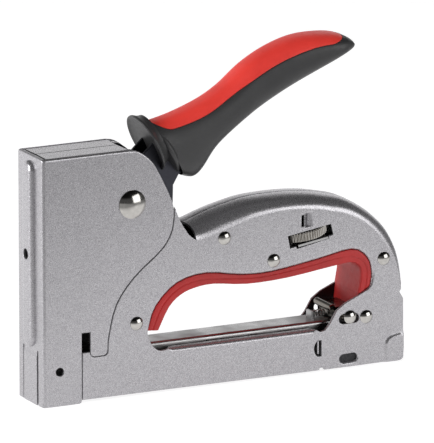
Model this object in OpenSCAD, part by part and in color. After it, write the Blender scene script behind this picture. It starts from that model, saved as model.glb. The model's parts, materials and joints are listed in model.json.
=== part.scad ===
// Hand staple gun: a pressed-steel body of two half shells under a folded nose cover,
// a squeeze lever that lifts a hammer against a leaf spring, a knurled power wheel,
// and a magazine rail that slides out of the rear.
// Side outlines are lists of [distance behind the front face, height above the nose foot].

/* [Body] */
// Length of the body behind its front face
body_len = 180; // [176:1:184]
// Width across the flat sides
body_w = 26; // [25:0.5:27]
// Height of the nose cover
nose_h = 113; // [111:1:115]
// Thickness of the body sheet
sheet = 1.2; // [1:0.1:1.4]
// Depth of the stiffening rib pressed into the nose front
rib_out = 3.3; // [2.5:0.1:4]

/* [Lever] */
// Swing of the lever when it is squeezed, in degrees
lever_swing = 23; // [15:1:23]
// Distance from the lever pivot to the lifting pin
lift_arm = 36.5; // [35.5:0.1:36.8]
// Width of the grip at its middle
grip_w = 23; // [21:0.5:25]

/* [Power adjuster] */
// Radius of the knurled power wheel
wheel_r = 13.4; // [13:0.1:13.6]
// Thickness of the power wheel
wheel_t = 4.6; // [4:0.1:4.8]
// Backward lean of the wheel's axis, in degrees
wheel_tilt = 8.7; // [6:0.1:10]

/* [Magazine] */
// Width of the magazine channel
channel_w = 14.4; // [14:0.1:14.8]
// Height of the channel's top above the nose foot
channel_top = 22.3; // [22:0.1:22.5]

/* [Hidden] */
$fn = 48;
stretch = body_len / 180;
rise = nose_h / 113;
front_x = -(body_len - rib_out) / 2;
side = body_w / 2;
inside = side - sheet;
tucked = inside - sheet;
flange_gap = 0.25;
lever_slot = 7;

// One point, a list of points, and a smooth curve through a list of points
function fx(x) = front_x + x * stretch;
function fz(z) = z * rise;
function at(p) = [for (q = p) [fx(q[0]), fz(q[1])]];
function bend(a, b, c, d, t) =
    0.5 * (2 * b + (c - a) * t + (2 * a - 5 * b + 4 * c - d) * t * t + (3 * b - a - 3 * c + d) * t * t * t);
function smooth(p, n = 3) = concat(
    [for (i = [0 : len(p) - 2], k = [0 : n - 1])
        bend(p[max(i - 1, 0)], p[i], p[i + 1], p[min(i + 2, len(p) - 1)], k / n)],
    [p[len(p) - 1]]);
function backward(p) = [for (i = [len(p) - 1 : -1 : 0]) p[i]];
function mix(a, b, f) = [for (i = [0 : len(a) - 1]) a[i] * (1 - f) + b[i] * f];
// A curve moved sideways by d, to the left of its direction of travel
function heading(p, i) = p[min(i + 1, len(p) - 1)] - p[max(i - 1, 0)];
function beside(p, d) = [for (i = [0 : len(p) - 1])
    let (h = heading(p, i)) p[i] + d * [-h[1], h[0]] / norm(h)];
function arc(c, r, from, to, n = 8) =
    [for (i = [0 : n]) let (a = from + (to - from) * i / n) c + r * [cos(a), sin(a)]];

// Flat side of the shells: nose top, rear slope, arch and rear edge
nose_top_z = 112.4;
slope = smooth([[42.8, 112.4], [47.3, 111.4], [52.4, 107.6], [56.6, 102.1], [63.8, 87], [66.9, 79.9], [69.2, 75.5]]);
arch_flat = smooth([[71.9, 71.4], [75.6, 68.4], [79, 67.9], [88.4, 70.3], [97.6, 73], [105.9, 75.3], [115.5, 76.6],
    [125, 76.8], [134.6, 75.9], [142.5, 74], [150.8, 71.7], [159.1, 67.4], [165.3, 61.7],
    [169.5, 56.4], [173.9, 49.7], [176.4, 43.7], [178.2, 36.2]]);
arch_crown = smooth([[73.6, 73.4], [75.3, 74.2], [79.5, 75.6], [87, 78.2], [96.5, 80.5], [105.5, 82.1],
    [115.5, 82.6], [125.4, 82.5], [135.6, 81.7], [144.2, 80.1], [153, 77.7], [162, 72.7],
    [168.8, 67.1], [173.9, 61.2], [177.8, 53.2], [179.6, 45.1], [180, 36.5]]);
rear_edge = [[178.9, 34.4], [178, 32.8], [179.9, 29.7], [180, 20.3], [180, 12.9], [180, 7.3], [179.7, 2.6],
    [178.6, 1]];
side_outline = concat([[1.4, 1.5], [1.4, nose_top_z]], slope, arch_flat, rear_edge);

// Hand opening: border of the shells above and behind, then the lower bar
opening_high = smooth([[51.7, 29.3], [56, 40.3], [66.5, 49.7], [80.9, 52.5], [98.2, 49.8], [113.5, 49.5],
    [136.6, 52.6], [153.7, 55.3], [161.5, 50.8], [163.8, 43.8], [163.1, 37.5]]);
opening_low = [[161.8, 36], [157.8, 34.1], [150.3, 30.9], [145.9, 27.9], [142.4, 22.2], [140, 19.5],
    [137.8, 18.9], [135.6, 20.1], [61.5, 20.1], [57, 19.8], [53.3, 23.4], [51.5, 28.2]];
liner_inner = smooth([[57.4, 28.8], [62.7, 38.7], [68.4, 43.7], [75.1, 46.1], [84.4, 47], [101.3, 45],
    [121.2, 45.5], [144.2, 48.2], [154.7, 49], [158.6, 44.4], [157.2, 34]]);

// Rear edge of the nose cover's sides: the seam, the locking tab and the lower edge
seam = concat(
    smooth([[42.8, 113], [47.3, 111.8], [52.4, 108.1], [56.6, 102.5], [63.8, 87.3], [64.1, 77.4], [61.7, 70.6],
        [56.9, 64.9], [44.5, 54.8], [35.9, 43.4], [32.2, 29.7], [31.7, 23.5]]),
    arc([29.6, 22.9], 2, 0, -90, 4), arc([25.3, 22.9], 2, -90, -180, 4), [[23.3, 32.2], [19, 32.2], [19, 1.2], [17.8, 0]]);

// Fixed cross rivets and the lever pivot
rivet_spots = [[46, 33.6], [89.6, 67.8], [114.2, 54.7], [169.6, 49.4], [160.8, 23.4]];
rivet_r = 1.75;
rivet_head_r = 3.1;
pivot = [44, 88.3];
pivot_r = 3.5;
pivot_head_r = 6.5;
pivot_head_out = 2.5;
bush_r = 5;
fit_gap = 0.05;

// Lever: two cheeks on either side of the hammer
cheek_in = 4.6;
cheek_t = 1.5;
cheek_out = cheek_in + cheek_t;
pin_spot = pivot - lift_arm * [cos(lever_swing / 2), sin(lever_swing / 2)];
pin_r = 1.6;

// Driver and hammer
blade_front = 2.5;
blade_t = 1.2;
blade_back = blade_front + blade_t;
blade_w = 11.2;
hammer_w = 7.8;

// Power wheel
wheel_spot = [132.7, 64];
screw_r = 2.5;

// Latch: the pin rides in the upper half of a slot through both shells
latch_spot = [152.6, 24.2];
latch_pin_r = 1.5;
latch_slot = [[149.4, 23.5], [154.9, 23.5]];
latch_slot_r = 2.3;

// An outline given in the side view, extruded across the width from y0 to y1
module slab(points, y0, y1) {
    translate([0, y1, 0])
        rotate([90, 0, 0])
            linear_extrude(y1 - y0)
                polygon(at(points));
}

// The same slab on both sides of the centre plane
module both(points, y0, y1) {
    slab(points, y0, y1);
    slab(points, -y1, -y0);
}

// A round bar across the width
module bar(spot, r, y0, y1) {
    translate([fx(spot[0]), y1, fz(spot[1])])
        rotate([90, 0, 0])
            cylinder(r = r, h = y1 - y0);
}

// A box between two corners, its x and z given as distance and height
module block(x, y, z) {
    translate([fx(x[0]), y[0], fz(z[0])])
        cube([fx(x[1]) - fx(x[0]), y[1] - y[0], fz(z[1]) - fz(z[0])]);
}

// A round wire coiled about the Z axis
module coil(r, wire, pitch, turns, steps = 14, sides = 6) {
    rings = round(turns * steps);
    points = [for (i = [0 : rings], k = [0 : sides - 1])
        let (a = 360 * i / steps, b = 360 * k / sides, out = r + wire / 2 * cos(b))
            [out * cos(a), out * sin(a), pitch * i / steps + wire / 2 * sin(b)]];
    walls = [for (i = [0 : rings - 1], k = [0 : sides - 1], half = [0, 1])
        let (n = (k + 1) % sides, a = i * sides, b = a + sides)
            half == 0 ? [a + k, a + n, b + n] : [a + k, b + n, b + k]];
    ends = [[for (k = [0 : sides - 1]) sides - 1 - k], [for (k = [0 : sides - 1]) rings * sides + k]];
    polyhedron(points, concat(walls, ends), convexity = 10);
}

// A low domed rivet head standing on the plane y = 0 towards -Y
module dome(r, h) {
    ball_r = (r * r + h * h) / (2 * h);
    rotate([90, 0, 0])
        rotate_extrude()
            polygon(concat([[0, 0]],
                [for (i = [0 : 6]) let (a = asin(r / ball_r) * (1 - i / 6))
                    [ball_r * sin(a), h - ball_r + ball_r * cos(a)]]));
}

// A rivet across the body with a dome on either side, seated at half the width
module rivet(spot, shank_r, head_r, head_h, seat = side) {
    bar(spot, shank_r, -seat, seat);
    for (s = [0, 1])
        mirror([0, s, 0])
            translate([fx(spot[0]), -seat, fz(spot[1])])
                dome(head_r, head_h);
}

// ---- Body shells ----

// Layers that round the arch from its flat side to its crown: [inner y, outer y, share of the rise]
arch_layers = [[flange_gap, 4.6, 1], [4.6, 8, 0.93], [8, 10.2, 0.82], [10.2, inside, 0.62], [inside, side, 0.3]];
layer_t = 2.2;

module arch_rim() {
    for (layer = arch_layers) {
        outer = mix(arch_flat, arch_crown, layer[2]);
        slab(concat(outer, backward(beside(outer, -layer_t))), layer[0], layer[1] + 0.2);
    }
}

module shell_sheet() {
    // flat side behind the seam, and the part tucked under the nose cover
    difference() {
        slab(side_outline, inside, side);
        slab(concat([[-1, -1], [-1, 120]], beside(seam, 0.25)), inside - 1, side + 1);
    }
    intersection() {
        slab(side_outline, tucked, side);
        slab(concat([[-1, -1], [-1, 120]], beside(seam, 2)), tucked, inside);
    }
    // joggle that joins the two
    intersection() {
        slab(side_outline, tucked, side);
        slab(concat(beside(seam, 2), backward(beside(seam, 0.25))), inside - 0.4, inside + 0.4);
    }
}

module shell_flanges() {
    slab([[2.6, nose_top_z - 1.2], [2.6, nose_top_z], [45.8, nose_top_z], [45.8, nose_top_z - 1.2]], flange_gap, tucked + 0.3);
    slab(concat(slope, backward(beside(slope, -1.4))), lever_slot - 0.5, tucked + 0.3);
    slab([[178.1, 23.8], [177.4, 36.8], [178.6, 36.8], [179, 23.8]], flange_gap, inside + 0.3);
    slab([[178, 1.7], [178, 24.2], [178.9, 24.2], [178.9, 1.7]], 8, inside + 0.3);
    slab([[20, 1.6], [20, 2.7], [178.4, 2.7], [178.4, 1.6]], 8.2, inside + 0.3);
    slab([[61.5, 18.9], [61.5, 20.5], [135.6, 20.5], [135.6, 18.9]], 8.6, inside + 0.3);
    slab(concat(arc([173.7, 9], 3.4, 180, 90, 4), arc([174.8, 9], 3.4, 90, 0, 4), arc([174.8, 5], 3.4, 0, -90, 4),
        arc([173.7, 5], 3.4, -90, -180, 4)), inside + 0.3, side + 0.7);
}

// A slot with round ends, from one centre to the other
module slot(a, b, r, y0, y1) {
    lean = atan2(b[1] - a[1], b[0] - a[0]);
    slab(concat(arc(b, r, lean - 90, lean + 90), arc(a, r, lean + 90, lean + 270)), y0, y1);
}

module shell_holes() {
    outside = side + 2;
    slab(concat(opening_high, opening_low), 8, outside);
    for (spot = rivet_spots)
        bar(spot, rivet_r + fit_gap, 8, outside);
    bar(pivot, pivot_r + fit_gap, 8, outside);
    slot(latch_slot[0], latch_slot[1], latch_slot_r, 8, outside);
    slot([148.5, 5], [155.5, 5.2], 1.7, inside - 1, outside);
    // crescent behind the magazine bar
    slab(concat([[138.3, 15], [138.3, 7.6]], arc([139.4, 11.3], 4.8, 230, 130)), 8, outside);
    // power wheel slot, square to the wheel, with room for the edge of the bracket's lower plate
    slab([[121.3, 65], [143, 68.3], [144.1, 63.3], [141.8, 62.9], [142, 61.8], [125.7, 58.7], [125.5, 59.8], [122.5, 59.2]],
        8, outside);
    // dent that locates the top of the screw bracket
    slab([[128.4, 68.2], [128.2, 73.6], [133.6, 74], [133.8, 68.9]], side - 0.6, outside);
    slab([[19, 23.7], [19, 32.2], [23.3, 32.2], [23.3, 23.7]], 8, outside);
    bar([8.2, 15.7], 2.4, 8, outside);
    // nick in the bottom edge
    block([137.4, 140.1], [8, outside], [1, 2.4]);
    // lever slot between the two shells
    block([46, 79], [-1, lever_slot], [66, 120]);
}

module shell(mirrored) {
    mirror([0, mirrored ? 1 : 0, 0])
        difference() {
            union() {
                shell_sheet();
                shell_flanges();
                arch_rim();
            }
            shell_holes();
        }
}

module left_shell() color("silver") shell(true);
module right_shell() color("silver") shell(false);

// ---- Nose ----

nose_bend = 2.2;
rib_r = 4.4;
rib_z = [30.4, 103.6];
tongue_w = 6.6;
slit_w = 1.2;

// A stadium standing on the front face, from x0 to x1
module rib_step(r, x0, x1) {
    translate([fx(0) + x0, 0, 0])
        rotate([90, 0, 90])
            linear_extrude(x1 - x0)
                polygon(concat(arc([0, fz(rib_z[1])], r, 0, 180, 10), arc([0, fz(rib_z[0])], r, 180, 360, 10)));
}

module nose_cover() color("silver") {
    difference() {
        union() {
            intersection() {
                translate([fx(0), 0, 0])
                    linear_extrude(fz(113))
                        polygon(concat([[70, side]], arc([nose_bend, side - nose_bend], nose_bend, 90, 180),
                            arc([nose_bend, nose_bend - side], nose_bend, 180, 270), [[70, -side]]));
                slab(concat([[-1, 0], [-1, 113]], seam), -side - 1, side + 1);
            }
            rib_step(rib_r, -rib_out * 0.55, 0.1);
            rib_step(rib_r - 1.2, -rib_out, 0.1);
            translate([fx(0) - 0.3, -tongue_w, 0])
                cube([0.4, 2 * tongue_w, fz(24.5)]);
        }
        // hollow between the folded sides
        translate([fx(0) + sheet, -inside, -1])
            cube([80, 2 * inside, 130]);
        rib_step(rib_r - 2.2, -rib_out + sheet, sheet + 0.1);
        for (s = [-1, 1])
            translate([fx(0) - 2, s * (tongue_w + slit_w / 2) - slit_w / 2, -1])
                cube([4, slit_w, fz(24.5) + 1]);
        translate([fx(0) - 10, 0, fz(68)])
            rotate([0, 90, 0])
                cylinder(r = 2.3, h = 20);
        bar([8.2, 15.7], 1.95, -side - 1, side + 1);
        bar(pivot, pivot_r + fit_gap, -side - 1, side + 1);
    }
}

module guide_plate() color("lightgray")
    difference() {
        block([1.3, 2.3], [-10.4, 10.4], [0.6, 112.6]);
        // window behind the rib for the hammer's nose
        block([1, 3], [-2.2, 2.2], [60, 104]);
    }

module driver_guide() color("gray") {
    block([4.1, 5.3], [-10.4, 10.4], [24.5, 58]);
    block([4.1, 14], [-10.4, 10.4], [56.8, 58]);
    for (y = [-10.4, 9.2])
        block([4.1, 14], [y, y + 1.2], [24.5, 58]);
}

module hammer_bumper() color("dimgray")
    difference() {
        block([4.2, 12.5], [-7, 7], [58, 63.6]);
        // relief groove across the rubber
        bar([13, 60.8], 1.4, -8, 8);
    }

// ---- Hand opening liner ----

liner_half = 12.3;
tongue_in = 1.2;

module grip_liner() color("firebrick") {
    slab(concat(opening_high, backward(liner_inner)), -inside + 0.1, inside - 0.1);
    both(concat(beside(opening_high, -0.15), backward(liner_inner)), inside - 0.2, liner_half);
    slab(concat(beside(opening_high, tongue_in), backward(liner_inner)), -inside + 0.3, inside - 0.3);
}

// ---- Magazine channel ----

channel_sheet = 1;
channel_x = [4.2, 147.5];

module magazine_channel() color("lightgray")
    difference() {
        union() {
            block(channel_x, [-channel_w / 2, channel_w / 2], [3.4, channel_top]);
            // lug that carries the front end of the latch spring
            block([138.4, 139.6], [-4, 4], [channel_top - 0.5, 28.6]);
        }
        block([channel_x[0] - 1, channel_x[1] + 1], [-channel_w / 2 + channel_sheet, channel_w / 2 - channel_sheet],
            [2, channel_top - channel_sheet]);
    }

// ---- Rivets and pivot ----

module body_rivets() color("whitesmoke")
    for (spot = rivet_spots)
        rivet(spot, rivet_r, rivet_head_r, 1.5);

module lever_pivot_rivet() color("whitesmoke")
    rivet(pivot, pivot_r, pivot_head_r, pivot_head_out);

module pivot_bush() color("gainsboro")
    difference() {
        bar(pivot, bush_r, -tucked, tucked);
        bar(pivot, pivot_r + fit_gap, -tucked - 1, tucked + 1);
    }

// ---- Lever ----

lever_side = concat([[pin_spot[0] + 0.4, pin_spot[1] + 3.2]], [[40, 98.5], [50, 106], [58.6, 114], [75, 118], [100, 128],
    [103, 121], [84, 107], [76, 100], [70.3, 97.6], [67.6, 93], [67.4, 84], [64.5, 77.3], [58, 75], [48, 77.5],
    [40, 79.2]],
    [[pin_spot[0] + 1.2, pin_spot[1] - 3]], arc(pin_spot, 3.2, 265, 95, 6));

lever_webs = [[[70.3, 97.4], [67.6, 93], [67.4, 84.2], [66.2, 84.2], [66.3, 93.4], [69.2, 98]],
    [[75, 118], [100, 128], [100.4, 126.8], [75.4, 116.8]]];

module lever_steel() color("slategray")
    difference() {
        union() {
            both(lever_side, cheek_in, cheek_out);
            // webs that join the cheeks along their rear edge and under the grip
            for (web = lever_webs)
                slab(web, -cheek_in - 0.1, cheek_in + 0.1);
        }
        bar(pivot, bush_r + fit_gap, -cheek_out - 1, cheek_out + 1);
        bar(pin_spot, pin_r, -cheek_out - 1, cheek_out + 1);
    }

module lift_pin() color("gainsboro")
    bar(pin_spot, pin_r, -cheek_out, cheek_out);

// Handle curves: top of the pad, the parting line between pad and core, and the underside
handle_top = smooth([[58.6, 122.2], [70.4, 124.6], [84.1, 129.2], [94.5, 134.9], [105.7, 143.7], [118.6, 150.3],
    [132.5, 153.8], [147.9, 153.5], [152.3, 152.5]]);
handle_split = smooth([[60.4, 119.7], [68.3, 119.9], [83.8, 124.7], [101.1, 134.9], [118.3, 143.9], [135.6, 149.2],
    [149.4, 150.4], [152.6, 152.2]]);
handle_under = smooth([[158.6, 146.3], [155.8, 145], [141.1, 138.3], [123.8, 130.3], [106.6, 120.8], [90.4, 108.4],
    [82.6, 98.4], [78.1, 95.2], [72.6, 96.4]]);
handle_tip = smooth([[152.6, 152.2], [156.2, 150.4], [159.2, 147.6], [158.6, 146.3]]);
web_pocket = [[74.9, 118.2], [100.1, 128.2], [100.6, 126.6], [75.5, 116.6]];

// Front rim and collar of the guard: centre, tilt from upright, half height and half width
guard_rim = [[56, 112.7], 24.6, 13.7, 13.8];
guard_neck = [[58.4, 111.6], 24.6, 12.2, 11.4];
guard_collar = [[63.3, 109.9], 29.4, 15, 12];
guard_root = [[60, 108.5], 24.6, 8, 9];

// One oval disc of the guard, t thick towards the handle, square to its own tilted plane
module guard_disc(oval, t)
    translate([fx(oval[0][0]), 0, fz(oval[0][1])])
        rotate([0, 90 - oval[1], 0])
            linear_extrude(t)
                polygon([for (i = [0 : 35]) let (a = 10 * i) [oval[2] * cos(a), oval[3] * sin(a)]]);

// The oval guard at the front of the grip
module grip_guard() {
    guard_disc(guard_rim, 2.6);
    guard_disc(guard_neck, 3.8);
    guard_disc(guard_collar, 1.2);
    guard_disc(guard_root, 9);
}

module grip_core() color("dimgray") {
    difference() {
        union() {
            slab(concat(handle_split, handle_tip, handle_under), -grip_w / 2 + 0.6, grip_w / 2 - 0.6);
            grip_guard();
        }
        // pockets for the lever's steel cheeks and their webs
        both(beside(concat(lever_side, [lever_side[0]]), 0.1), cheek_in - 0.1, cheek_out + 0.1);
        slab(web_pocket, -cheek_in - 0.1, cheek_in + 0.1);
    }
}

module grip_pad() color("red") {
    slab(concat(handle_top, backward(beside(handle_split, 0.1))), -grip_w / 2, grip_w / 2);
}

// The return spring sits on the bush between the cheeks, with one leg on the web and one on the nose
module lever_return_spring() color("gray") {
    translate([fx(pivot[0]), 3.6, fz(pivot[1])])
        rotate([90, 0, 0])
            coil(6.2, 1.2, 1.5, 4.75);
}

// ---- Hammer and driver ----

module driver_blade() color("lightgray")
    block([blade_front, blade_back], [-blade_w / 2, blade_w / 2], [0.8, 88]);

module hammer_block() color("darkgray")
    difference() {
        slab([[blade_back, 64], [blade_back, 87.5], [11, 87.5], [12.4, 85], [12.4, 66], [11, 64]],
            -hammer_w / 2, hammer_w / 2);
        slab([[5.3, pin_spot[1] - pin_r - 0.12], [5.3, pin_spot[1] + pin_r + 0.12],
            [13, pin_spot[1] + pin_r + 0.12], [13, pin_spot[1] - pin_r - 0.12]], -hammer_w, hammer_w);
        slab([[6, 68.6], [6, 72.4], [13, 73.2], [13, 67.8]], -hammer_w, hammer_w);
    }

leaf_t = 1.5;
leaf_w = 7.4;
leaf_path = smooth([[6.4, 70.6], [20, 70.8], [44, 70.2], [66, 68.3], [89.6, 65.2], [102, 61.9], [114.2, 58.6],
    [124, 56.9], [137, 58.9]], 4);

module main_leaf_spring() color("dimgray")
    difference() {
        slab(concat(beside(leaf_path, leaf_t / 2), backward(beside(leaf_path, -leaf_t / 2))), -leaf_w / 2, leaf_w / 2);
        // clearance for the power screw
        translate([fx(wheel_spot[0]) + 1, 0, 40])
            cylinder(r = screw_r + 0.5, h = 30);
    }

// ---- Power adjuster, drawn about the wheel's centre and leaned back ----

module at_wheel() {
    translate([fx(wheel_spot[0]), 0, fz(wheel_spot[1])])
        rotate([0, -wheel_tilt, 0])
            children();
}

knurls = 60;

module power_wheel() color("darkkhaki")
    at_wheel()
        difference() {
            translate([0, 0, -wheel_t / 2])
                linear_extrude(wheel_t)
                    polygon([for (i = [0 : 2 * knurls - 1])
                        let (a = 180 * i / knurls, r = wheel_r - 0.5 * (i % 2)) [r * cos(a), r * sin(a)]]);
            translate([0, 0, -wheel_t])
                cylinder(r = screw_r, h = 2 * wheel_t);
        }

module power_screw() color("gray")
    at_wheel()
        translate([0, 0, -9.8])
            cylinder(r = screw_r, h = 15.4);

plate_gap = wheel_t / 2 + 0.4;

module screw_bracket() color("darkgray") {
    at_wheel()
        difference() {
            union() {
                translate([-6, -8, plate_gap])
                    cube([21.2, 16, 1]);
                translate([-8, -8, -plate_gap - 1])
                    cube([23.2, 16, 1]);
                // lip of the lower plate that shows in the wheel slots
                translate([-6.6, -side + 0.3, -plate_gap - 1])
                    cube([15.2, 2 * side - 0.6, 1]);
                translate([14.2, -8, -plate_gap - 1])
                    cube([1, 16, 2 * plate_gap + 2]);
            }
            translate([0, 0, -20])
                cylinder(r = screw_r + fit_gap, h = 40);
        }
    // ears down to the rivet below the wheel
    difference() {
        both([[111, 54.4], [113, 57.6], [124.6, 60.4], [126.5, 60.6], [126.5, 59.6], [117, 53], [114, 51.6], [111.4, 52.6]],
            6.2, 7.4);
        bar(rivet_spots[2], rivet_r + fit_gap, -9, 9);
    }
}

module power_nut() color("gold")
    at_wheel()
        difference() {
            translate([-3.6, -5, -9.3])
                cube([7.2, 10, 2.6]);
            translate([0, 0, -12])
                cylinder(r = screw_r + fit_gap, h = 10);
        }

// ---- Magazine rail and pusher ----

rail_w = 10.2;
rail_top = 19.6;
rail_x = [4.4, 172];
pusher_x = [5.8, 24];

module magazine_rail() color("silver")
    difference() {
        block(rail_x, [-rail_w / 2, rail_w / 2], [4, rail_top]);
        // hollow behind a short front wall that holds the rod
        block([rail_x[0] + 1, rail_x[1] + 1], [-rail_w / 2 + 1, rail_w / 2 - 1], [3, rail_top - 1]);
        block([rail_x[0] - 1, rail_x[0] + 2], [-rail_w / 2 + 1, rail_w / 2 - 1], [3, 8]);
        // notch that the latch drops into
        block([151, 157], [-3, 3], [rail_top - 2, rail_top + 1]);
    }

module rail_end_cap() color("gray")
    difference() {
        union() {
            block([172, 174], [-7, 7], [3, 20.6]);
            // finger tab bent back below
            block([174, 178.6], [-6, 6], [3, 4.4]);
            block([177.4, 178.6], [-6, 6], [3, 9]);
        }
        translate([fx(171), 0, rod_z])
            rotate([0, 90, 0])
                cylinder(r = rod_r, h = 5);
    }

rod_z = 12;
rod_r = 1.5;

module pusher_rod() color("gainsboro")
    translate([fx(rail_x[0] + 1), 0, rod_z])
        rotate([0, 90, 0])
            cylinder(r = rod_r, h = fx(174) - fx(rail_x[0] + 1));

module pusher_spring() color("gray")
    translate([fx(25.4), 0, rod_z])
        rotate([0, 90, 0])
            coil(2.6, 0.8, (fx(171.2) - fx(25.4)) / 24, 24, 10, 5);

// A saddle round the rail, with a post inside the rail that slides on the rod
module staple_pusher() color("lightgray")
    difference() {
        union() {
            difference() {
                block(pusher_x, [-5.9, 5.9], [2.7, 20.9]);
                block([pusher_x[0] - 1, pusher_x[1] + 1], [-rail_w / 2 - 0.15, rail_w / 2 + 0.15],
                    [3.7, rail_top + 0.3]);
            }
            block(pusher_x, [-3.6, 3.6], [3.6, 15.4]);
        }
        translate([fx(0), 0, rod_z])
            rotate([0, 90, 0])
                cylinder(r = rod_r + fit_gap, h = 40);
    }

// ---- Latch ----

module latch_plate() color("lightgray") {
    difference() {
        union() {
            block([147, 157], [-8, 8], [26.9, 28.1]);
            both([[147, 22.45], [147, 28.1], [157, 28.1], [157, 22.45]], 6.8, 8);
            block([147, 148.2], [-8, 8], [23.2, 28.1]);
            // rolled finger lip in front of the plate
            bar([146.4, 27.7], 1.7, -8, 8);
        }
        bar(latch_spot, latch_pin_r, -9, 9);
    }
    // foot above the rail's notch
    block([155.3, 156.5], [-2.6, 2.6], [21.3, 27]);
}

module latch_pin() color("whitesmoke")
    rivet(latch_spot, latch_pin_r, rivet_head_r, 1.6, side + 0.1);

module latch_spring() color("gray")
    translate([fx(140), 0, fz(24.3)])
        rotate([0, 90, 0])
            coil(1.3, 0.6, 1.35, 4.75);

left_shell();
right_shell();
nose_cover();
guide_plate();
driver_guide();
hammer_bumper();
grip_liner();
magazine_channel();
body_rivets();
lever_pivot_rivet();
pivot_bush();
screw_bracket();
lever_return_spring();
main_leaf_spring();
latch_spring();
lever_steel();
lift_pin();
grip_core();
grip_pad();
driver_blade();
hammer_block();
power_wheel();
power_screw();
power_nut();
magazine_rail();
rail_end_cap();
pusher_rod();
pusher_spring();
staple_pusher();
latch_plate();
latch_pin();
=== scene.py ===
"""Looks of the hand staple gun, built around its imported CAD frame.

Side outlines are lists of [distance behind the front face, height above the nose foot] in millimetres, as in
the design; place() turns them into metres in the frame. Sheet-metal parts are plates with rolled borders, the
rest are lofts and lathed shapes."""
import bmesh
import bpy
import json
import math
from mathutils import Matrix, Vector, geometry


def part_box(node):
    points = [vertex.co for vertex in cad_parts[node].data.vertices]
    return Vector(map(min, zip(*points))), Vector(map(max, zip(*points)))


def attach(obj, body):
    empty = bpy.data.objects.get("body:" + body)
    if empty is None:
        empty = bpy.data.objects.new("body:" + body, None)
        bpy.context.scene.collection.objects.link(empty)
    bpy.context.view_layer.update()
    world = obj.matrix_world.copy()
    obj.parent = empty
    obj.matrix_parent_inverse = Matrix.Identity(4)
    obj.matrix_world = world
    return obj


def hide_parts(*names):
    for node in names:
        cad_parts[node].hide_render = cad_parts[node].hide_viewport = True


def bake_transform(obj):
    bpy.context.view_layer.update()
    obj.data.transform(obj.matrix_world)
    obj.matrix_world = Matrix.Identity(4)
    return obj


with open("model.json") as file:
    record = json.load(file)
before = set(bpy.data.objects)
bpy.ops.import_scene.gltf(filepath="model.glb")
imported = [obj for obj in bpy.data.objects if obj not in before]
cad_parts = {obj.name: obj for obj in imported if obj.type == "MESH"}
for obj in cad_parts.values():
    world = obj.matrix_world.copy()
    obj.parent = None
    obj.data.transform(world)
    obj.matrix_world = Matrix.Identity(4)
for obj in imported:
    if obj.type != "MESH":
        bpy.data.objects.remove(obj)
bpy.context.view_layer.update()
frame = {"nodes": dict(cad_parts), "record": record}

# ---- Sizes, in millimetres ----

MM = 0.001
SHEET = 1.2
WELD = 2e-6  # metres
# Half the body's width; the front face in the frame, behind the CAD part's rib; the height of the nose.
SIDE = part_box("nose_cover")[1].y / MM
CAD_RIB_OUT = 3.3
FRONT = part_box("nose_cover")[0].x / MM + CAD_RIB_OUT
NOSE_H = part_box("nose_cover")[1].z / MM


# ---- Curves ----

def smooth(points, n=3):
    """A Catmull-Rom curve through the points, with n steps between two of them."""
    out = []
    last = len(points) - 1
    for i in range(last):
        a, b = points[max(i - 1, 0)], points[i]
        c, d = points[i + 1], points[min(i + 2, last)]
        for k in range(n):
            t = k / n
            out.append([0.5 * (2 * b[j] + (c[j] - a[j]) * t + (2 * a[j] - 5 * b[j] + 4 * c[j] - d[j]) * t * t
                               + (3 * b[j] - a[j] - 3 * c[j] + d[j]) * t ** 3) for j in range(len(b))])
    return out + [list(points[last])]


def on_circle(centre, r, turns):
    """Points of a circle at the given angles in degrees."""
    x, z = centre
    return [[x + r * math.cos(math.radians(a)), z + r * math.sin(math.radians(a))] for a in turns]


def arc(centre, r, start, end, n=8):
    return on_circle(centre, r, [start + (end - start) * i / n for i in range(n + 1)])


def shifted(points, d):
    """A curve moved sideways by d, to the left of its direction of travel."""
    out = []
    for i, p in enumerate(points):
        a, b = points[max(i - 1, 0)], points[min(i + 1, len(points) - 1)]
        long = math.dist(a, b)
        out.append([p[0] - d * (b[1] - a[1]) / long, p[1] + d * (b[0] - a[0]) / long])
    return out


def ease(t):
    """0 below 0, 1 above 1 and a smooth step between."""
    t = min(max(t, 0), 1)
    return t * t * (3 - 2 * t)


def mix(a, b, t):
    return [x + (y - x) * t for x, y in zip(a, b)]


def point_at(points, share):
    """The point at a share of a polyline's length."""
    steps = [math.dist(a, b) for a, b in zip(points, points[1:])]
    left = share * sum(steps)
    i = 0
    while i < len(steps) - 1 and left > steps[i]:
        left -= steps[i]
        i += 1
    return mix(points[i], points[i + 1], min(left / steps[i], 1))


# ---- Outlines ----

slope = smooth([[42.8, 112.4], [47.3, 111.4], [52.4, 107.6], [56.6, 102.1], [63.8, 87], [66.9, 79.9],
                [69.2, 75.5]])
arch_flat = smooth([[71.9, 71.4], [75.6, 68.4], [79, 67.9], [88.4, 70.3], [97.6, 73], [105.9, 75.3],
                    [115.5, 76.6], [125, 76.8], [134.6, 75.9], [142.5, 74], [150.8, 71.7], [159.1, 67.4],
                    [165.3, 61.7], [169.5, 56.4], [173.9, 49.7], [176.4, 43.7], [178.2, 36.2]])
arch_crown = smooth([[73.6, 73.4], [75.3, 74.2], [79.5, 75.6], [87, 78.2], [96.5, 80.5], [105.5, 82.1],
                     [115.5, 82.6], [125.4, 82.5], [135.6, 81.7], [144.2, 80.1], [153, 77.7], [162, 72.7],
                     [168.8, 67.1], [173.9, 61.2], [177.8, 53.2], [179.6, 45.1], [180, 36.5]])
opening_high = smooth([[51.7, 29.3], [56, 40.3], [66.5, 49.7], [80.9, 52.5], [98.2, 49.8], [113.5, 49.5],
                       [136.6, 52.6], [153.7, 55.3], [161.5, 50.8], [163.8, 43.8], [163.1, 37.5]])
opening_rear = [[161.8, 36], [157.8, 34.1], [150.3, 30.9], [145.9, 27.9], [142.4, 22.2], [140, 19.5],
                [137.8, 18.9]]
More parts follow.
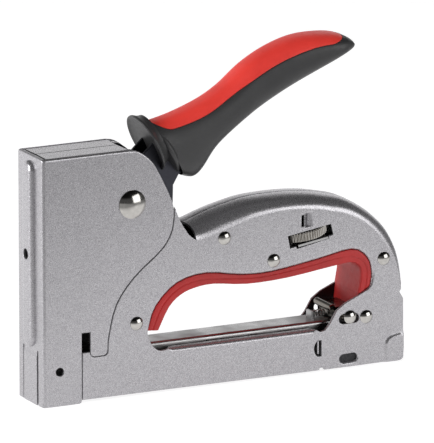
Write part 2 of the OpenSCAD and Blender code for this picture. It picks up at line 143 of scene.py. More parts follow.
opening_front = smooth([[61.5, 20.1], [57, 19.8], [53.3, 23.4], [51.5, 28.2]], 4)
liner_inner = smooth([[57.4, 28.8], [62.7, 38.7], [68.4, 43.7], [75.1, 46.1], [84.4, 47], [101.3, 45],
                      [121.2, 45.5], [144.2, 48.2], [154.7, 49], [158.6, 44.4], [157.2, 34]])
seam_curve = smooth([[42.8, 113], [47.3, 111.8], [52.4, 108.1], [56.6, 102.5], [63.8, 87.3], [64.1, 77.4],
                     [61.7, 70.6], [56.9, 64.9], [44.5, 54.8], [35.9, 43.4], [32.2, 29.7], [31.7, 23.5]])
NOSE_HOLE = [8.2, 15.7]
rivet_spots = [[46, 33.6], [89.6, 67.8], [114.2, 54.7], [169.6, 49.4], [160.8, 23.4]]
pivot = [44, 88.3]
lift_pin = [8.23, 81.02]
latch_spot = [152.6, 24.2]
wheel_spot = [132.7, 64]
wheel_tilt = math.radians(8.7)


# ---- Meshes ----

class Shape:
    """Faces collected in metres, welded into one object at the end."""

    def __init__(self):
        self.verts, self.faces, self.slots = [], [], []

    def face(self, points, slot=0):
        start = len(self.verts)
        self.verts += [Vector(p) for p in points]
        self.faces.append(list(range(start, start + len(points))))
        self.slots.append(slot)

    def strip(self, a, b, slot=0, closed=False):
        """Quads between two rows of the same length."""
        for i in range(len(a) if closed else len(a) - 1):
            j = (i + 1) % len(a)
            self.face([a[i], a[j], b[j], b[i]], slot)

    def loft(self, rings, slot=0, ends=True):
        """Closed rings joined into a skin, with flat ends."""
        for a, b in zip(rings, rings[1:]):
            self.strip(a, b, slot, closed=True)
        if ends:
            self.face(rings[0], slot)
            self.face(rings[-1], slot)

    def take(self, other, mirrored=False):
        """Adds another shape, or its mirror image across the centre plane."""
        for f, slot in zip(other.faces, other.slots):
            points = [other.verts[i] for i in f]
            if mirrored:
                points = [Vector((p.x, -p.y, p.z)) for p in reversed(points)]
            self.face(points, slot)

    def object(self, name, materials, crease=38):
        mesh = bpy.data.meshes.new(name)
        mesh.from_pydata([tuple(v) for v in self.verts], [], self.faces)
        for material in materials:
            mesh.materials.append(material)
        mesh.polygons.foreach_set("material_index", self.slots)
        work = bmesh.new()
        work.from_mesh(mesh)
        bmesh.ops.remove_doubles(work, verts=work.verts, dist=WELD)
        bmesh.ops.dissolve_degenerate(work, dist=WELD, edges=work.edges)
        bmesh.ops.recalc_face_normals(work, faces=work.faces)
        work.to_mesh(mesh)
        work.free()
        mesh.shade_smooth()
        mesh.set_sharp_from_angle(angle=math.radians(crease))
        made = bpy.data.objects.new(name, mesh)
        bpy.context.scene.collection.objects.link(made)
        normals = made.modifiers.new("even_normals", "WEIGHTED_NORMAL")
        normals.keep_sharp = True
        return made


def piece(shape, name, materials, body, crease=38):
    """Makes the object of a node, which it stands for, and puts it on its body."""
    made = shape.object(name + "_skin", materials, crease)
    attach(made, body)
    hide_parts(name)


def place(x, y, z):
    """A point of the side view, y across the width, in metres."""
    return Vector(((FRONT + x) * MM, y * MM, z * MM))


def rectangle(left, low, right, high):
    return [[left, low], [right, low], [right, high], [left, high]]


def slab(shape, outline, widths, slot=0):
    """Adds a side-view outline carried through the given distances across the width."""
    shape.loft([[place(x, y, z) for x, z in outline] for y in widths], slot)


# ---- Plates ----

ROLL_STEPS = 5
SHOULDER_TURNS = (0, 10, 20, 30, 40, 49, 57, 64, 70, 75, 79.5, 83, 86, 88, 89.3)
SEAM = 0.2  # half the gap between the two shells along the crown


class Edge:
    """A corner of a plate's outline: its point, the border's rolling radius, how deep the border reaches,
    and for a shoulder the way up to the crown."""

    def __init__(self, point, roll=0.3, reach=SHEET, crown=None):
        self.x, self.z = point
        self.roll, self.reach, self.crown = roll, reach, crown


def edges(points, roll=0.3, reach=SHEET):
    return [Edge(p, roll, reach) for p in points]


def inward(loop):
    """For each corner the vector into the sheet, long enough to move both its edges by one."""
    out = []
    n = len(loop)
    for i, e in enumerate(loop):
        before, after = loop[i - 1], loop[(i + 1) % n]
        a = Vector((e.x - before.x, e.z - before.z)).normalized()
        b = Vector((after.x - e.x, after.z - e.z)).normalized()
        left_a, left_b = Vector((-a.y, a.x)), Vector((-b.y, b.x))
        middle = left_a + left_b
        middle = middle.normalized() if middle.length > 1e-6 else left_a
        out.append(middle / max(middle.dot(left_a), 0.5))
    return out


def border_profile(e, m, t):
    """The rolled border at a corner as (x, z, depth) points, from the outer face round to the inner face."""
    roll = 0 if e.crown else e.roll
    reach = t if e.crown else e.reach
    spots = []
    for k in range(ROLL_STEPS + 1):
        a = math.pi / 2 * k / ROLL_STEPS
        spots.append((roll * (1 - math.sin(a)), roll * (1 - math.cos(a))))
    nip = min(0.15, reach / 4)
    spots += [(0, max(reach - nip, roll)), (nip, reach), (t - 0.01, reach)]
    hollow = max(roll - t, 0)
    for k in range(3):
        a = math.pi / 2 * (1 - k / 2)
        spots.append((t + hollow * (1 - math.sin(a)), t + hollow * (1 - math.cos(a))))
    return [(e.x + m.x * s, e.z + m.y * s, d) for s, d in spots]


def shoulder_profile(e, m, t):
    """The rounded shoulder that rises from the flat side to the crown at the centre plane."""
    up = Vector(e.crown) - Vector((e.x, e.z))
    tall = up.length
    up.normalize()
    turns = [math.radians(a) for a in SHOULDER_TURNS]
    curve = [(tall * math.sin(a), SIDE - SIDE * math.cos(a) ** (2 / 3)) for a in turns]
    curve += [(tall - 0.12, SIDE - 0.32), (tall - 0.4, SIDE - SEAM)]
    back = []
    for i, (rise, depth) in enumerate(curve[:-2]):
        a, b = curve[max(i - 1, 0)], curve[min(i + 1, len(curve) - 3)]
        way = Vector((b[0] - a[0], b[1] - a[1])).normalized()
        back.append((rise - t * way.y, depth + t * way.x))
    back[0] = (0, t)
    curve += [(tall - t, SIDE - SEAM)] + [(r, min(d, SIDE - SEAM)) for r, d in reversed(back[1:])]
    out = [(e.x + up.x * rise, e.z + up.y * rise, depth) for rise, depth in curve]
    return out + [(e.x + m.x * t, e.z + m.y * t, t)]


def inside_of(p, loop):
    """Whether the point lies inside the closed loop."""
    hit = False
    for i, (x, z) in enumerate(loop):
        x0, z0 = loop[i - 1]
        if (z > p[1]) != (z0 > p[1]) and p[0] < (x0 - x) * (p[1] - z) / (z0 - z) + x:
            hit = not hit
    return hit


def fill(loops, lines):
    """Triangles inside the first loop and outside the others, which also follow the lines."""
    points, links = [], []
    for row, steps in [(loop, len(loop)) for loop in loops] + [(line, len(line) - 1) for line in lines]:
        start, n = len(points), len(row)
        points += [Vector(p) for p in row]
        links += [(start + i, start + (i + 1) % n) for i in range(steps)]
    made = geometry.delaunay_2d_cdt(points, links, [], 0, 1e-5)
    out = []
    for f in made[2]:
        spots = [made[0][i] for i in f]
        centre = [sum(p[k] for p in spots) / len(spots) for k in (0, 1)]
        if inside_of(centre, loops[0]) and not any(inside_of(centre, hole) for hole in loops[1:]):
            out.append(spots)
    return out


def plate(put, rim, holes=(), lines=(), relief=None, t=SHEET):
    """A pressed sheet: put(x, z, depth) gives a point, and relief(x, z) how deep it is pressed in. Seen from
    outside, the rim runs anticlockwise and the holes clockwise. The inner side takes the second material."""
    shape = Shape()

    def spot(p):
        return put(p[0], p[1], p[2] + (relief(p[0], p[1]) if relief else 0))

    outer, inner = [], []
    for loop in [rim, *holes]:
        moves = inward(loop)
        n = len(loop)
        normal = [border_profile(e, m, t) for e, m in zip(loop, moves)]
        raised = [shoulder_profile(e, m, t) if e.crown else None for e, m in zip(loop, moves)]
        outer.append([p[0][:2] for p in normal])
        inner.append([p[-1][:2] for p in normal])
        for i in range(n):
            j = (i + 1) % n
            both_up = raised[i] and raised[j]
            a, b = (raised[i], raised[j]) if both_up else (normal[i], normal[j])
            skin = (len(SHOULDER_TURNS) if both_up else ROLL_STEPS) + 2
            for k in range(len(a) - 1):
                shape.face([spot(a[k]), spot(b[k]), spot(b[k + 1]), spot(a[k + 1])], 0 if k < skin else 1)
            if raised[i] and not (raised[i - 1] and raised[j]):
                shape.face([spot(p) for p in raised[i]] + [spot(p) for p in reversed(normal[i][1:-1])], 0)
    for tri in fill(outer, lines):
        shape.face([spot((p[0], p[1], 0)) for p in tri], 0)
    for tri in fill(inner, lines):
        shape.face([spot((p[0], p[1], t)) for p in reversed(tri)], 1)
    return shape


def ring(centre, r, n=20):
    """A round hole, clockwise."""
    return on_circle(centre, r, [-360 * i / n for i in range(n)])


def slot_hole(a, b, r):
    """A slot with round ends, clockwise."""
    lean = math.degrees(math.atan2(b[1] - a[1], b[0] - a[0]))
    return arc(b, r, lean + 90, lean - 90) + arc(a, r, lean - 90, lean - 270)


def lathe(centre, side, profile, n=40):
    """Rings of a turned shape about the Y axis through centre: profile is (radius, distance out)."""
    turns = [360 * k / n for k in range(n)]
    return [[place(x, side * out, z) for x, z in on_circle(centre, r, turns)] for r, out in profile]


def tube(points, r, n=8):
    """A round wire along a path of vectors in metres, as rings."""
    rings = []
    up = Vector((0.13, 0.31, 0.94)).normalized()
    for i, p in enumerate(points):
        way = (points[min(i + 1, len(points) - 1)] - points[max(i - 1, 0)]).normalized()
        side = way.cross(up).normalized()
        up = side.cross(way).normalized()
        rings.append([p + (side * math.cos(2 * math.pi * k / n) + up * math.sin(2 * math.pi * k / n)) * r * MM
                      for k in range(n)])
    return rings


# ---- Materials ----

def node_tools(tree):
    """add() makes a node; fit() links the sockets among the inputs given and sets the plain values."""
    def fit(node, inputs):
        for key, value in inputs.items():
            if isinstance(value, bpy.types.NodeSocket):
                tree.links.new(value, node.inputs[key])
            else:
                node.inputs[key].default_value = value

    def add(kind, inputs, **settings):
        node = tree.nodes.new("ShaderNode" + kind)
        for key, value in settings.items():
            setattr(node, key, value)
        fit(node, inputs)
        return node

    return add, fit


def material(name):
    """A new node material, its coordinates, add(), and a function that sets inputs of its shader."""
    made = bpy.data.materials.new(name)
    made.use_nodes = True
    add, fit = node_tools(made.node_tree)
    where = add("TexCoord", {})
    shader = made.node_tree.nodes["Principled BSDF"]
    return made, where.outputs["Object"], add, lambda inputs: fit(shader, inputs)


def remap(add, source, start, end, first, last, soft=False):
    """A source value between start and end, turned into one between first and last."""
    inputs = {"Value": source, "From Min": start, "From Max": end, "To Min": first, "To Max": last}
    return add("MapRange", inputs, interpolation_type="SMOOTHSTEP" if soft else "LINEAR").outputs["Result"]


def ramp(add, source, low, high, start=0.35, end=0.65):
    """Two colours blended by a source value."""
    node = add("ValToRGB", {"Fac": source})
    node.color_ramp.elements[0].position = start
    node.color_ramp.elements[1].position = end
    node.color_ramp.elements[0].color = (*low, 1)
    node.color_ramp.elements[1].color = (*high, 1)
    return node.outputs["Color"]


def worn_edges(add, where, colour, worn):
    """Lets the edges show the worn colour, broken up by noise."""
    soft = add("Bevel", {"Radius": 0.0006}, samples=4)
    hard = add("NewGeometry", {})
    dot = add("VectorMath", {0: soft.outputs["Normal"], 1: hard.outputs["Normal"]}, operation="DOT_PRODUCT")
    edge = remap(add, dot.outputs["Value"], 0.99, 0.8, 0, 0.5)
    patch = add("TexNoise", {"Vector": where, "Scale": 260, "Detail": 4})
    broken = add("Math", {0: edge, 1: patch.outputs["Fac"]}, operation="MULTIPLY")
    blend = add("Mix", {0: broken.outputs["Value"], 6: colour, 7: (*worn, 1)}, data_type="RGBA")
    return blend.outputs[2]


def satin_paint(name, base, spread, rough):
    """Metallic paint: fine bright and dark flakes, uneven gloss, a slight orange peel, and painted shade that
    darkens it low down.
    """
    made, where, add, shade = material(name)
    flakes = add("TexVoronoi", {"Vector": where, "Scale": 3400})
    mottle = add("TexNoise", {"Vector": where, "Scale": 2300, "Detail": 2, "Roughness": 0.6})
    grey = add("SeparateColor", {0: flakes.outputs["Color"]})
    mixed = add("Mix", {0: 0.45, 2: grey.outputs[0], 3: mottle.outputs["Fac"]})
    low = tuple(c - spread for c in base)
    high = tuple(c + spread for c in base)
    height = add("SeparateXYZ", {0: where})
    # painted shade: the paint darkens by up to 14 percent towards the bottom, fading out 7 cm up
    low_painted_shade = remap(add, height.outputs["Z"], 0.005, 0.07, 0.14, 0)
    flake_colour = ramp(add, mixed.outputs[0], low, high, 0.2, 0.8)
    colour = add("Mix", {0: low_painted_shade, 6: flake_colour, 7: (0, 0, 0, 1)}, data_type="RGBA")
    dull = remap(add, mottle.outputs["Fac"], 0, 1, rough - 0.07, rough + 0.07)
    bump = add("Bump", {"Height": mixed.outputs[0], "Strength": 0.3, "Distance": 0.00008})
    shade({"Base Color": colour.outputs[2], "Roughness": dull, "Normal": bump.outputs["Normal"],
           "Metallic": 0.75})
    return made


def polished(name, base, rough, brushed=None):
    """Bare or plated metal: smudges in the roughness, and faint scratches, or brush lines along one axis."""
    made, where, add, shade = material(name)
    stretch = add("Mapping", {"Vector": where, "Scale": brushed or (1, 1, 1)})
    scale = 1400 if brushed else 500
    lines = add("TexNoise", {"Vector": stretch.outputs["Vector"], "Scale": scale, "Detail": 4})
    smudge = add("TexNoise", {"Vector": where, "Scale": 70, "Detail": 4})
    colour = ramp(add, lines.outputs["Fac"], tuple(c * 0.86 for c in base), base)
    dull = remap(add, smudge.outputs["Fac"], 0.3, 0.7, rough * 0.7, rough * 1.5)
    bump = add("Bump", {"Height": lines.outputs["Fac"], "Strength": 0.12, "Distance": 0.00003})
    shade({"Base Color": colour, "Roughness": dull, "Normal": bump.outputs["Normal"], "Metallic": 1})
    return made


def moulded(name, base, rough, grain=700, sheen=0):
    """Plastic or rubber: a fine spark-eroded grain, faint colour clouds and rubbed edges."""
    made, where, add, shade = material(name)
    spread = 0.12
    cloud = add("TexNoise", {"Vector": where, "Scale": 60, "Detail": 4, "Roughness": 0.6})
    fine_grain = add("TexNoise", {"Vector": where, "Scale": grain, "Detail": 3, "Roughness": 0.7})
    low = tuple(c * (1 - spread) for c in base)
    high = tuple(min(c * (1 + spread), 1) for c in base)
    colour = ramp(add, cloud.outputs["Fac"], low, high)
    rubbed = tuple(min(c * 1.5 + 0.01, 1) for c in base)
    worn = worn_edges(add, where, colour, rubbed)
    dull = remap(add, fine_grain.outputs["Fac"], 0.3, 0.7, rough - 0.06, rough + 0.08)
    bump = add("Bump", {"Height": fine_grain.outputs["Fac"], "Strength": 0.4, "Distance": 0.00006})
    shade({"Base Color": worn, "Roughness": dull, "Normal": bump.outputs["Normal"], "Sheen Weight": sheen,
           "Sheen Roughness": 0.5})
    return made


paint = satin_paint("satin_silver_paint", (0.465, 0.455, 0.475), 0.12, 0.28)
# painted shade: the shells' inner faces get a near-black paint that stands for the shade inside the body
painted_shade_inside = satin_paint("painted_shade_inner", (0.045, 0.045, 0.048), 0.02, 0.5)
chrome = polished("chrome_rivet", (0.52, 0.505, 0.48), 0.1)
bright = polished("bright_steel", (0.45, 0.45, 0.45), 0.32, brushed=(0.05, 1, 1))
latch_steel = polished("latch_steel", (0.2, 0.185, 0.165), 0.2)
dark_steel = polished("dark_steel", (0.062, 0.063, 0.075), 0.38)
spring_steel = polished("spring_steel", (0.3, 0.29, 0.28), 0.3)
nickel = polished("nickel_wheel", (0.5, 0.48, 0.45), 0.2)
black = moulded("black_plastic", (0.04, 0.04, 0.041), 0.42)
red_grip = moulded("red_rubber", (1.0, 0.05, 0.036), 0.5, grain=520, sheen=0.1)
red_liner = moulded("red_plastic", (0.44, 0.015, 0.015), 0.5, grain=600)
bumper = moulded("bumper_rubber", (0.03, 0.03, 0.03), 0.6)
slot_finishes = {"bright_steel": bright, "spring_steel": spring_steel, "dark_steel": dark_steel,
                 "chrome_rivet": chrome, "nickel_wheel": nickel, "bumper_rubber": bumper}


# ---- Body shells ----

BORDER = 0.35
GAP = 0.35  # between the shell and the nose cover's edge
ARCH_START = 3  # the first point of the arch that has a shoulder
BOSS_X = 174.2
BOSS_R = 3.6
BOSS_OUT = 0.75
DENT = (129.9, 134.2, 67.9, 74.6)  # left, right, low, high
DENT_LEAN = 0.1
DENT_DEEP = 2.6
DENT_INSETS = ((0, 0, 0, 0), (0.13, 1, 0.3, 0.25), (0.27, 2, 0.5, 0.4), (0.4, 3, 0.7, 0.5),
               (0.9, 4, 1.2, 0.9))


def shell_side(x, z, depth):
    return place(x, depth - SIDE, z)


def boss_z(x):
    return 8.6 + 0.2 * (x - 170)


def boss_relief(x, z):
    """The rounded pad pressed out of the lower rear corner."""
    if x < BOSS_X and z > boss_z(x):
        out = math.hypot(x - BOSS_X, z - boss_z(x)) - BOSS_R
    else:
        out = max(BOSS_X - x, z - boss_z(x)) - BOSS_R
    return -BOSS_OUT * (1 - ease((out + 0.9) / 1.5))


def boss_lines():
    """Contours of the pad's border, from the bottom edge round to the rear edge."""
    out = []
    for d in (-0.9, -0.6, -0.3, 0, 0.3, 0.6):
        r = BOSS_R + d
        line = [[BOSS_X - r, z] for z in (2.6, 4.5, 6.5)]
        line += arc([BOSS_X, boss_z(BOSS_X)], r, 180, 90, 6)
        out.append(line + [[x, boss_z(x) + r] for x in (175.2, 176.5, 177.8)])
    return out


def dent_relief(x, z):
    """The dent behind the slit above the wheel slot: deep at the slit, and running out towards the rear."""
    left, right, low, high = DENT
    along = min(ease((x - left) / 0.4), ease((right - x) / 4.6))
    lean = DENT_LEAN * (x - left)
    up = min(ease((z - low - lean) / 0.7), ease((high + lean - z) / 0.5))
    return DENT_DEEP * along * up


def dent_lines():
    """Contours of the dent, each with its own insets from the four edges."""
    left, right, low, high = DENT
    out = []
    for from_left, from_right, from_low, from_high in DENT_INSETS:
        x0, x1 = left + from_left, right - from_right
        columns = [x0, (x0 + x1) / 2, x1]
        below = [[x, low + DENT_LEAN * (x - left) + from_low] for x in columns]
        above = [[x, high + DENT_LEAN * (x - left) - from_high] for x in reversed(columns)]
        out.append(below + above + below[:1])
    return out


def cover_rear_edge():
    """The cover's rear edge from the slope down to the foot: seam, locking tab and lower edge."""
    return seam_curve + arc([29.6, 22.9], 2, 0, -90, 5) + arc([25.3, 22.9], 2, -90, -180, 5)


def bottom_z(x):
    """The bottom edge drops slightly towards the rear."""
    return 1.5 - 0.6 * (x - 20) / 160


def shell_rim():
    """Outline of the visible side, anticlockwise."""
    plain = [60, 100, 137.4, 137.6, 139.9, 140.1, 155]
    spots = [19 + GAP] + plain + [168, 169.5] + [170 + 0.4 * i for i in range(12)] + [176.5]
    bottom = [[x, bottom_z(x) + (1 if 137.5 < x < 140 else 0)] for x in spots]
    corner = arc([177.6, 3.3], 2.35, -75, 15, 6)
    rear = [[180, z] for z in (7.3, 8.9, 10.2, 12.9, 15, 20.3)] + [[179.9, 29.7], [178, 32.8], [178.9, 34.4]]
    out = edges(bottom, 1.2, 4) + edges(corner, 1.2, 3) + edges(rear, 0.9, 3)
    out[0].roll, out[0].reach = BORDER, SHEET
    for e in out[1:len(plain) + 1]:
        e.roll, e.reach = 0.6, 2.5
    for i in range(len(arch_flat) - 1, ARCH_START - 1, -1):
        out.append(Edge(arch_flat[i], 0, SHEET, arch_crown[i]))
    notch = arch_flat[ARCH_START - 1::-1] + slope[:-5:-1] + [[66, 82], [64.9, 84.6]]
    out += edges(notch, BORDER)
    behind = [p for p in shifted(cover_rear_edge(), GAP) if p[1] < 85 and p[0] > 23.3]
    out += edges(behind, BORDER)
    out += edges([[23.3 - GAP, 23.3], [23.1 - GAP, 23.2], [19 + GAP, 23.1], [19 + GAP, 12]], BORDER)
    return out


def opening_edge():
    """The hand opening, clockwise: rolled border above, plain sheet at the latch, rolled lip on the bar."""
    roll, bar_z = 1.7, 20.1
    high = edges(opening_high, roll, 2.4)
    for i, amount in ((0, 0.3), (1, 0.6), (-1, 0.3), (-2, 0.6)):
        high[i].roll = BORDER + (roll - BORDER) * amount
    rear_end = [135.6] + [135.2 - 0.35 * i for i in range(1, 5)]
    bar = [Edge([x, bar_z], BORDER + 0.35 * i, SHEET + 0.8 * i) for i, x in enumerate(rear_end)]
    bar += edges([[120, bar_z], [98, bar_z], [76, bar_z]], 1.75, 4.4)
    bar += [Edge([61.5 + 0.6 * i, bar_z], BORDER + 0.35 * i, SHEET + 0.8 * i) for i in range(4, -1, -1)]
    return high + edges(opening_rear, BORDER) + bar + edges(opening_front[1:], BORDER)


def visible_side():
    wheel = [[121.3, 65], [143, 68.3], [144.1, 63.3], [141.8, 62.9], [142, 61.8], [125.7, 58.7],
             [125.5, 59.8], [122.5, 59.2]]
    crescent = [[138.3, 15], [138.3, 7.6]] + arc([139.4, 11.3], 4.8, 230, 130, 8)
    lanced = [[128, 68.4], [128.1, 73.9], [129.6, 74.1], [129.5, 68.6]]
    holes = [opening_edge(), edges(wheel, 0.3), edges(crescent, 0.25), edges(lanced, 0.15),
             edges(slot_hole([149.4, 23.5], [154.9, 23.5], 2.3), 0.3),
             edges(slot_hole([149.5, 5], [154.5, 5.2], 1.9), 0.9, 1.9)]
    return plate(shell_side, shell_rim(), holes, boss_lines() + dent_lines(),
                 lambda x, z: boss_relief(x, z) + dent_relief(x, z))


def tucked_side():
    """The part of the shell under the nose cover, with the flanges of the nose top and the lever slot."""
    under = SHEET + 0.05
    top = 112.75
    plain, roll, slot_flange, top_flange = 0.25, 1.3, 4.6, 11.5
    back = [p for p in shifted(cover_rear_edge(), 2.2) if p[1] < 82 and p[0] > 24.5]
    rim = edges([[1.8, 1.8], [20, 1.8], [24, 18.5]] + back[::-1], plain)
    rim += edges(slope[-5:0:-1] + [[43.2, top], [42.9, top]], roll, slot_flange)
    rim += edges([[42.6, top], [20, top], [3.2, top]], roll, top_flange)
    rim += edges([[2.9, top], [1.8, top - 0.8]], plain)
    window = edges([[18.6, 22], [18.6, 33], [24.2, 33], [24.2, 22]], 0.2)
    vent = edges(ring(NOSE_HOLE, 2.6), 0.2)
    return plate(lambda x, z, depth: shell_side(x, z, depth + under), rim, [window, vent])


def shells():
    """Both shells. Behind the oval slot lies a tab in the near-black inner paint, painted shade for the
    slot's dark inside, and behind the crescent slot a painted stop.
    """
    near = Shape()
    near.take(visible_side())
    near.take(tucked_side())
    # painted shade: a near-black tab behind the oval slot that makes the slot look dark inside
    slab(near, rectangle(147.5, 3, 157.5, 11.5), (-11.6, -11.4, -10.8, -10.6), 1)
    slab(near, rectangle(136.5, 8.8, 137.2, 14.6), (-12.4, -12.3, -11.9, -11.8))
    piece(near, "left_shell", [paint, painted_shade_inside], "body")
    far = Shape()
    far.take(near, mirrored=True)
    piece(far, "right_shell", [paint, painted_shade_inside], "body")


# ---- Nose cover ----

NOSE_BEND = 1.6
FLAT_HALF = SIDE - NOSE_BEND
BEND_LONG = NOSE_BEND * math.pi / 2
SIDE_START = FLAT_HALF + BEND_LONG
BEND_COLUMNS = [FLAT_HALF + BEND_LONG * k / 6 for k in range(7)]
TONGUE = 6.6  # half its width
TONGUE_TOP = 24.5
TONGUE_ROWS = (21.4, 22.1, 22.8, 23.5, 24.1)
TONGUE_OUT = 0.25
SLIT = 1.2
RIB_ENDS = [30.4, 105.6]
RIB_OUT = 2.3
RIB_TOP = 1.4  # half the width of its flat top
RIB_FLANK = 3.4


def cover_place(s, z, depth):
    """The folded sheet: s runs round the nose from the front's centre line."""
    side = -1 if s > 0 else 1
    s = abs(s)
    if s <= FLAT_HALF:
        return place(depth, side * s, z)
    if s < SIDE_START:
        a = (s - FLAT_HALF) / NOSE_BEND
        r = NOSE_BEND - depth
        return place(NOSE_BEND - r * math.cos(a), side * (FLAT_HALF + r * math.sin(a)), z)
    return place(NOSE_BEND + s - SIDE_START, side * (SIDE - depth), z)


def developed(x):
    """Where a point of the side view lies on the flat sheet."""
    return SIDE_START + x - NOSE_BEND


def cover_relief(s, z):
    """The long stiffening rib, and the tongue that stands proud between the slits."""
    out = math.hypot(s, z - min(max(z, RIB_ENDS[0]), RIB_ENDS[1]))
    rib = RIB_OUT * math.sqrt(1 - min(max((out - RIB_TOP) / RIB_FLANK, 0), 1) ** 2.4)
    tongue = TONGUE_OUT * ease((24.3 - z) / 3) if abs(s) < TONGUE + SLIT / 2 else 0
    return -max(rib, tongue)


def cover_lines():
    """Contours of the rib, rows across the tongue's bend, and columns round the nose's bends."""
    out = []
    for d in (1.4, 2.2, 2.8, 3.3, 3.7, 4, 4.25, 4.45, 4.6, 4.7, 4.8, 5):
        loop = arc([0, RIB_ENDS[1]], d, 0, 180, 14) + arc([0, RIB_ENDS[0]], d, 180, 360, 14)
        out.append(loop + loop[:1])
    out += [[[-5.6, z], [0, z], [5.6, z]] for z in reversed(TONGUE_ROWS)]
    for s in BEND_COLUMNS:
        for side in (-1, 1):
            out.append([[side * s, 1.6], [side * s, 60], [side * s, NOSE_H - 1.6]])
    return out


def half_cover():
    """Outline of the near half of the developed cover, from the foot's centre up to the top's centre."""
    r = SLIT / 2
    out = [[0, 0], [TONGUE, 0]] + [[TONGUE, z] for z in TONGUE_ROWS]
    out += on_circle([TONGUE + r, TONGUE_TOP], r, (165, 130, 90, 50, 15))
    out += [[TONGUE + SLIT, TONGUE_ROWS[-1]], [TONGUE + SLIT, 0]]
    out += [[s, 0] for s in BEND_COLUMNS]
    edge = [[17.8, 0], [18.7, 0.4], [19, 1.2], [19, 32.2], [23.3, 32.2]] + cover_rear_edge()[::-1]
    out += [[developed(x), min(z, NOSE_H)] for x, z in edge]
    out += [[s, NOSE_H] for s in reversed(BEND_COLUMNS)]
    return out


def nose_cover():
    near = half_cover()
    far = [[-s, z] for s, z in reversed(near[1:])]
    rim = edges(near + [[0, NOSE_H]] + far, 0.25)
    for e in rim:
        if e.z > NOSE_H - 0.5:
            e.roll = 1.15
        elif e.z > 88:
            e.roll = 0.6
    holes = [edges(ring([0, 68], 2.4, 28), 0.3)]
    for side in (-1, 1):
        holes.append(edges(ring([side * developed(NOSE_HOLE[0]), NOSE_HOLE[1]], 1.95), 0.3))
    shape = plate(cover_place, rim, holes, cover_lines(), cover_relief)
    piece(shape, "nose_cover", [paint, paint], "body")


# ---- Liner and channel ----

def liner_ring(a, b, section, narrow, shrink=1):
    """The section laid from an outer point a to an inner point b of the side view."""
    out = []
    for u, y in section:
        x, z = mix(a, b, 0.5 + (u - 0.5) * shrink)
        out.append(place(x, -y * narrow, z))
    return out


def grip_liner():
    """A grooved section round the opening, with a straight tail down at its rear end."""
    section = [(-0.1, 10.2), (0.02, 10.2), (0.02, 11.9), (0.07, 12.2), (0.3, 12.3), (0.36, 12.25), (0.4, 12),
               (0.45, 12), (0.49, 12.25), (0.55, 12.3), (0.84, 12.3), (0.92, 12.15), (0.97, 11.75),
               (1, 11.1), (1.015, 8), (1.03, 4), (1.035, 0)]
    section += [(u, -y) for u, y in reversed(section[:-1])]
    rings = []
    last = len(opening_high) - 1
    for stop in [0, 0.08, 0.4, *range(1, last), last - 0.4, last - 0.08, last]:
        i = min(int(stop), last - 1)
        a = mix(opening_high[i], opening_high[i + 1], stop - i)
        b = mix(liner_inner[i], liner_inner[i + 1], stop - i)
        shrink = 0.96 if stop in (0, last) else 1
        rings.append(liner_ring(a, b, section, shrink, shrink))
    outer, inner, down = Vector(opening_high[-1]), Vector(liner_inner[-1]), Vector((-0.12, -1))
    for drop, narrow in ((0.3, 0.94), (3, 0.93), (6.6, 0.93), (6.8, 0.9)):
        rings.append(liner_ring(outer + down * drop, inner + down * drop, section, narrow))
    shape = Shape()
    shape.loft(rings)
    piece(shape, "grip_liner", [red_liner], "body", 50)


def rounded_u(half, low, high, t, r):
    """Cross-section (y, z) of a bent channel that is open below."""
    outside = [[half, low]] + arc([half - r, high - r], r, 0, 90, 6) + [[0, high]]
    inside = [[0, high - t]] + arc([half - r, high - r], r - t, 90, 0, 6) + [[half - t, low]]
    return [[-y, z] for y, z in outside] + outside[-2::-1] + inside[:0:-1] + [[-y, z] for y, z in inside]


def magazine_channel():
    """The bent channel, and the lug on it that holds the latch spring."""
    front, rear, margin = 4.2, 147.5, 0.15
    section = rounded_u(half=7.2, low=3.4, high=22.3, t=1, r=1.5)
    shape = Shape()
    n = len(section)
    for a, b in ((front, front + margin), (front + margin, rear - margin), (rear - margin, rear)):
        for i in range(n):
            j = (i + 1) % n
            shape.face([place(x, *section[k]) for x, k in ((a, i), (b, i), (b, j), (a, j))])
    half = n // 2
    for x in (front, rear):
        for i in range(half - 1):
            shape.face([place(x, *section[k]) for k in (i, i + 1, n - 2 - i, n - 1 - i)])
    lug = [[138.4, 21.8], [139.6, 21.8], [139.6, 25.4], [139.4, 25.9], [138.6, 25.9], [138.4, 25.4]]
    slab(shape, lug, (-2.5, -2.3, 2.3, 2.5))
    piece(shape, "magazine_channel", [bright], "body")


# ---- Rivets ----

def dome_profile(r, h, seat):
    """A domed head as (radius, distance out): a straight rim and part of a ball."""
    rim, steps = 0.22, 9
    ball = (r * r + h * h) / (2 * h)
    out = [(r - 0.2, seat - 0.05), (r, seat + 0.05), (r, seat + rim)]
    start = math.asin(min(r / ball, 1))
    for i in range(steps + 1):
        a = start * (1 - i / steps)
        rise = (h - ball + ball * math.cos(a)) / h
        out.append((max(ball * math.sin(a), 0.01), seat + rim + (h - rim) * rise))
    return out


def rivet(shape, spot, shank, r, h, seat=SIDE):
    """A cross rivet with a head of radius r and height h on both sides."""
    for side in (-1, 1):
        rings = lathe(spot, side, [(shank, 0), (shank, seat - 0.05)] + dome_profile(r, h, seat))
        shape.loft(rings, ends=False)
        shape.face(rings[-1])


def rivets():
    shape = Shape()
    for spot in rivet_spots:
        rivet(shape, spot, shank=1.75, r=3.1, h=1.5)
    piece(shape, "body_rivets", [chrome], "body")
    shape = Shape()
    rivet(shape, pivot, shank=3.5, r=6.5, h=2.49)
    piece(shape, "lever_pivot_rivet", [chrome], "body")
    shape = Shape()
    rivet(shape, latch_spot, shank=1.5, r=3.1, h=1.6, seat=SIDE + 0.1)
    piece(shape, "latch_pin", [chrome], "latch")


# ---- Lever ----

